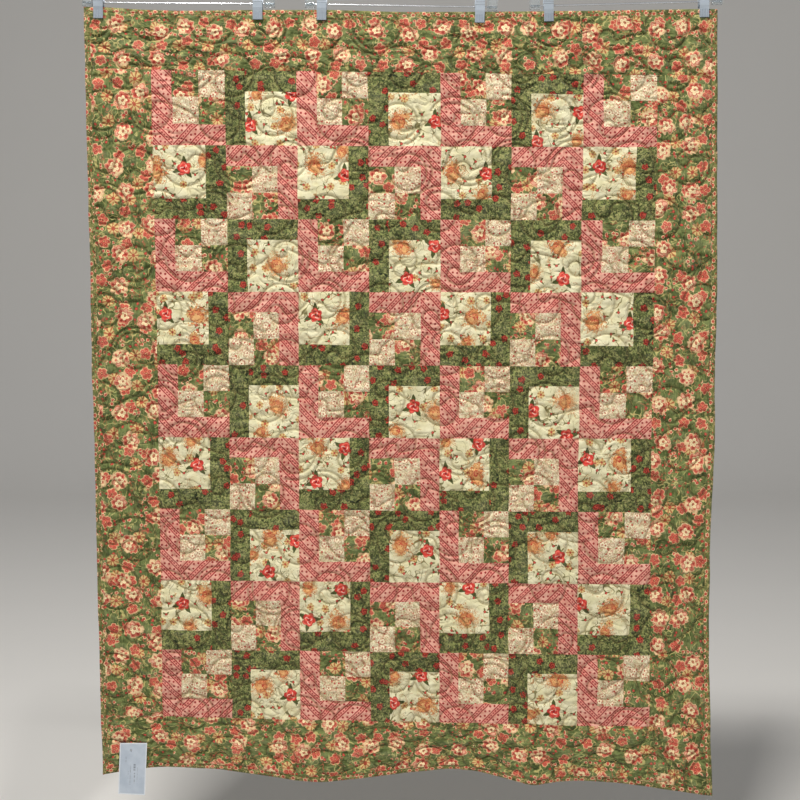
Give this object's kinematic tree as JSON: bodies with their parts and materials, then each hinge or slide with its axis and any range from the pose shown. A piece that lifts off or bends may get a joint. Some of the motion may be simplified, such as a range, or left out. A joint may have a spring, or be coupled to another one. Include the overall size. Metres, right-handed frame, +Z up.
{
  "type": "quilt on a rack",
  "caption": "Patchwork quilt held along its top edge by spring clips on clear skirt hangers, hooked over the telescoping rail of a free-standing tube rack.",
  "frame": {"origin": "on the floor, midway between the uprights and under the rail", "axes": "+X along the rail to the right seen from the quilt's front, +Y behind the quilt, +Z up"},
  "size_m": [1.98, 0.4, 1.8],
  "materials": {
    "black_steel": "satin",
    "zinc_steel": "satin",
    "rubber": "matte",
    "tube": "satin",
    "inner_tube": "satin",
    "black_plastic": "satin",
    "clear_plastic": "gloss",
    "bright_wire": "gloss",
    "clip_steel": "satin",
    "spring_steel": "satin",
    "vinyl_pad": "matte",
    "card": "satin",
    "quilt_border": "matte",
    "quilt_binding": "matte",
    "pink_strips": "matte",
    "green_strips": "matte",
    "rose_squares": "matte",
    "cream_squares": "matte",
    "floral_squares": "matte",
    "quilt_batting": "matte",
    "quilt_backing": "matte"
  },
  "bodies": {
    "rack": {"base_plate_left": "black_steel", "base_spigot_left": "zinc_steel", "feet_left": "rubber", "upright_left": "tube", "cap_left": "black_plastic", "crossbar_outer": "tube", "crossbar_hook_left": "zinc_steel", "lock_collar": "black_plastic"},
    "rack_right": {"base_plate_right": "black_steel", "base_spigot_right": "zinc_steel", "feet_right": "rubber", "upright_right": "tube", "cap_right": "black_plastic", "crossbar_inner": "inner_tube", "crossbar_hook_right": "zinc_steel"},
    "lock_knob": {"lock_knob": "black_plastic"},
    "hanging_set": {"hanger_body_1": "clear_plastic", "hanger_body_2": "clear_plastic", "hanger_body_3": "clear_plastic", "hanger_rod_1": "bright_wire", "hanger_rod_2": "bright_wire", "hanger_rod_3": "bright_wire", "quilt_border": "quilt_border", "quilt_binding": "quilt_binding", "pink_strips": "pink_strips", "green_strips": "green_strips", "rose_squares": "rose_squares", "cream_squares": "cream_squares", "floral_squares": "floral_squares", "quilt_batting": "quilt_batting", "quilt_backing": "quilt_backing", "card_pin": "bright_wire"},
    "card": {"label_card": "card"},
    "hook_1": {"hanger_hook_1": "bright_wire"},
    "hook_2": {"hanger_hook_2": "bright_wire"},
    "hook_3": {"hanger_hook_3": "bright_wire"},
    "clip_1": {"clip_back_1": "clip_steel", "clip_spring_1": "spring_steel"},
    "jaw_1": {"clip_front_1": "clip_steel", "clip_pad_1": "vinyl_pad"},
    "clip_2": {"clip_back_2": "clip_steel", "clip_spring_2": "spring_steel"},
    "jaw_2": {"clip_front_2": "clip_steel", "clip_pad_2": "vinyl_pad"},
    "clip_3": {"clip_back_3": "clip_steel", "clip_spring_3": "spring_steel"},
    "jaw_3": {"clip_front_3": "clip_steel", "clip_pad_3": "vinyl_pad"},
    "clip_4": {"clip_back_4": "clip_steel", "clip_spring_4": "spring_steel"},
    "jaw_4": {"clip_front_4": "clip_steel", "clip_pad_4": "vinyl_pad"},
    "clip_5": {"clip_back_5": "clip_steel", "clip_spring_5": "spring_steel"},
    "jaw_5": {"clip_front_5": "clip_steel", "clip_pad_5": "vinyl_pad"},
    "clip_6": {"clip_back_6": "clip_steel", "clip_spring_6": "spring_steel"},
    "jaw_6": {"clip_front_6": "clip_steel", "clip_pad_6": "vinyl_pad"}
  },
  "joints": [
    {"name": "crossbar_slide", "type": "slide", "parent": "rack", "child": "rack_right", "axis": [1, 0, 0], "range_m": [-0.15, 0.3]},
    {"name": "lock_turn", "type": "hinge", "parent": "rack", "child": "lock_knob", "pos_m": [0.454, 0, 1.7505], "axis": [0, 1, 0], "range_deg": [0, 180]},
    {"name": "quilt_swing", "type": "hinge", "parent": "rack", "child": "hanging_set", "pos_m": [0, 0, 1.7505], "axis": [1, 0, 0], "range_deg": [-12, 12]},
    {"name": "card_swing", "type": "hinge", "parent": "hanging_set", "child": "card", "pos_m": [-0.492, -0.0044, 0.2899], "axis": [0, 1, 0], "range_deg": [-20, 20]},
    {"name": "hook_swivel_1", "type": "hinge", "parent": "hanging_set", "child": "hook_1", "pos_m": [-0.391, 0, 1.6328], "axis": [0.0079, 0, 1], "range_deg": [-20, 20]},
    {"name": "hook_swivel_2", "type": "hinge", "parent": "hanging_set", "child": "hook_2", "pos_m": [0.002, 0, 1.6286], "axis": [0.0162, 0, 0.9999], "range_deg": [-20, 20]},
    {"name": "hook_swivel_3", "type": "hinge", "parent": "hanging_set", "child": "hook_3", "pos_m": [0.399, 0, 1.6322], "axis": [-0.0262, 0, 0.9997], "range_deg": [-20, 20]},
    {"name": "clip_slide_1", "type": "slide", "parent": "hanging_set", "child": "clip_1", "axis": [1, 0, -0.0079], "range_m": [-0.0015, 0.06]},
    {"name": "jaw_hinge_1", "type": "hinge", "parent": "clip_1", "child": "jaw_1", "pos_m": [-0.532, 0, 1.63391], "axis": [-1, 0, 0.0079], "range_deg": [0, 25], "stiffness_Nm_per_rad": 0.1, "springref_deg": -28.65},
    {"name": "clip_slide_2", "type": "slide", "parent": "hanging_set", "child": "clip_2", "axis": [1, 0, -0.0079], "range_m": [-0.06, 0.0015]},
    {"name": "jaw_hinge_2", "type": "hinge", "parent": "clip_2", "child": "jaw_2", "pos_m": [-0.251, 0, 1.6317], "axis": [-1, 0, 0.0079], "range_deg": [0, 25], "stiffness_Nm_per_rad": 0.1, "springref_deg": -28.65},
    {"name": "clip_slide_3", "type": "slide", "parent": "hanging_set", "child": "clip_3", "axis": [0.9999, 0, -0.0162], "range_m": [-0.0015, 0.06]},
    {"name": "jaw_hinge_3", "type": "hinge", "parent": "clip_3", "child": "jaw_3", "pos_m": [-0.13798, 0, 1.63087], "axis": [-0.9999, 0, 0.0162], "range_deg": [0, 25], "stiffness_Nm_per_rad": 0.1, "springref_deg": -28.65},
    {"name": "clip_slide_4", "type": "slide", "parent": "hanging_set", "child": "clip_4", "axis": [0.9999, 0, -0.0162], "range_m": [-0.06, 0.0015]},
    {"name": "jaw_hinge_4", "type": "hinge", "parent": "clip_4", "child": "jaw_4", "pos_m": [0.14098, 0, 1.62634], "axis": [-0.9999, 0, 0.0162], "range_deg": [0, 25], "stiffness_Nm_per_rad": 0.1, "springref_deg": -28.65},
    {"name": "clip_slide_5", "type": "slide", "parent": "hanging_set", "child": "clip_5", "axis": [0.9997, 0, 0.0262], "range_m": [-0.0015, 0.06]},
    {"name": "jaw_hinge_5", "type": "hinge", "parent": "clip_5", "child": "jaw_5", "pos_m": [0.26205, 0, 1.62861], "axis": [-0.9997, 0, -0.0262], "range_deg": [0, 25], "stiffness_Nm_per_rad": 0.1, "springref_deg": -28.65},
    {"name": "clip_slide_6", "type": "slide", "parent": "hanging_set", "child": "clip_6", "axis": [0.9997, 0, 0.0262], "range_m": [-0.06, 0.0015]},
    {"name": "jaw_hinge_6", "type": "hinge", "parent": "clip_6", "child": "jaw_6", "pos_m": [0.53595, 0, 1.63579], "axis": [-0.9997, 0, -0.0262], "range_deg": [0, 25], "stiffness_Nm_per_rad": 0.1, "springref_deg": -28.65}
  ]
}
